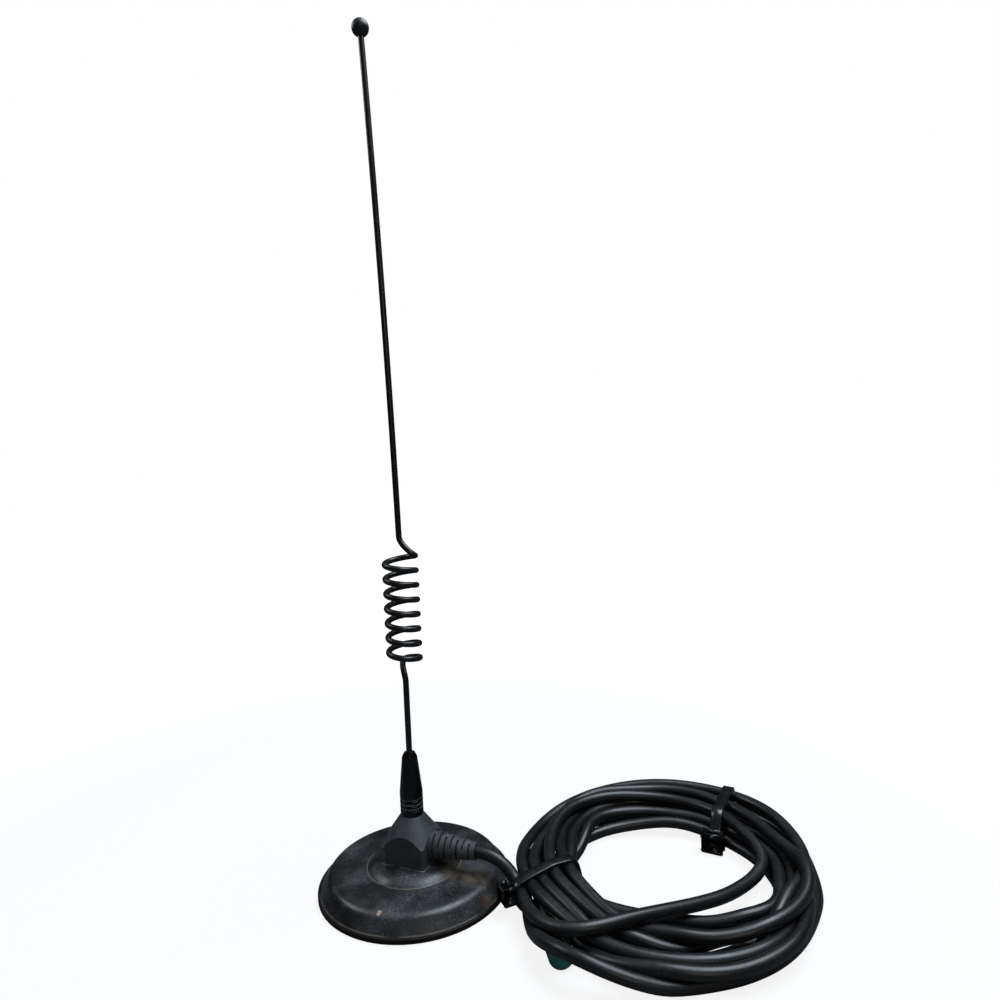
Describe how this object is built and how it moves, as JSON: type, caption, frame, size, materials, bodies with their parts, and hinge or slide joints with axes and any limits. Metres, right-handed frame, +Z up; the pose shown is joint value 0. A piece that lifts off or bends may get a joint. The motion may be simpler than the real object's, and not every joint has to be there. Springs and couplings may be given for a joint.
{
  "type": "magnetic mount antenna",
  "caption": "Whip antenna with a phasing coil on a magnetic base, its coaxial cable coiled and tied beside it.",
  "frame": {"origin": "centre of the base's underside, on the surface it stands on", "axes": "+Z up the mast, +X points where the cable leaves the housing"},
  "size_m": [0.198, 0.1399, 0.3535],
  "materials": {
    "boot": "moulded, matte",
    "shell": "black enamel, satin, dusty",
    "magnet": "sintered ferrite",
    "plate": "bright zinc",
    "stud": "turned",
    "insulation": "natural nylon",
    "tags": "tinned",
    "housing": "moulded, fine grained",
    "relief": "moulded, satin",
    "cable": "extruded jacket, satin",
    "copper": "bare copper",
    "seal": "moulded",
    "collar": "black, glossy",
    "insert": "turned",
    "whip": "black coating on spring steel",
    "ball": "polished, darkened",
    "tie": "moulded nylon, satin",
    "jack": "nickel plated",
    "cap": "soft, teal green"
  },
  "bodies": {
    "root": {"base_boot": "boot", "base_shell": "shell", "ring_magnet": "magnet", "pole_plate": "plate", "insulating_washer": "insulation", "mounting_stud": "stud", "earth_tag": "tags", "stud_bush": "insulation", "feed_tag": "tags", "stud_nut": "stud", "housing": "housing", "strain_relief": "relief", "cable_tail": "cable", "feed_wire": "copper", "braid_tail": "tags", "cable_lead": "cable", "cable_coil": "cable", "cable_end": "cable", "crimp_sleeve": "jack", "jack_body": "jack", "jack_insulator": "insulation", "socket_contact": "insert", "near_tie": "tie", "far_tie": "tie"},
    "seal": {"collar_seal": "seal"},
    "mast": {"collar": "collar", "collar_insert": "insert", "whip": "whip", "tip_ball": "ball"},
    "cap": {"jack_cap": "cap"}
  },
  "joints": [
    {"name": "mast_lift", "type": "slide", "parent": "root", "child": "seal", "axis": [0, 0, 1], "range_m": [0, 0.0063]},
    {"name": "mast_turn", "type": "hinge", "parent": "seal", "child": "mast", "pos_m": [0, 0, 0.0298], "axis": [0, 0, 1], "range_deg": [0, 3245]},
    {"name": "cap_pull", "type": "slide", "parent": "root", "child": "cap", "axis": [0.5195, -0.8545, 0], "range_m": [0, 0.0095]}
  ],
  "couplings": [
    {"joint": "mast_turn", "follows": "mast_lift", "rad_per_m": 8976}
  ]
}
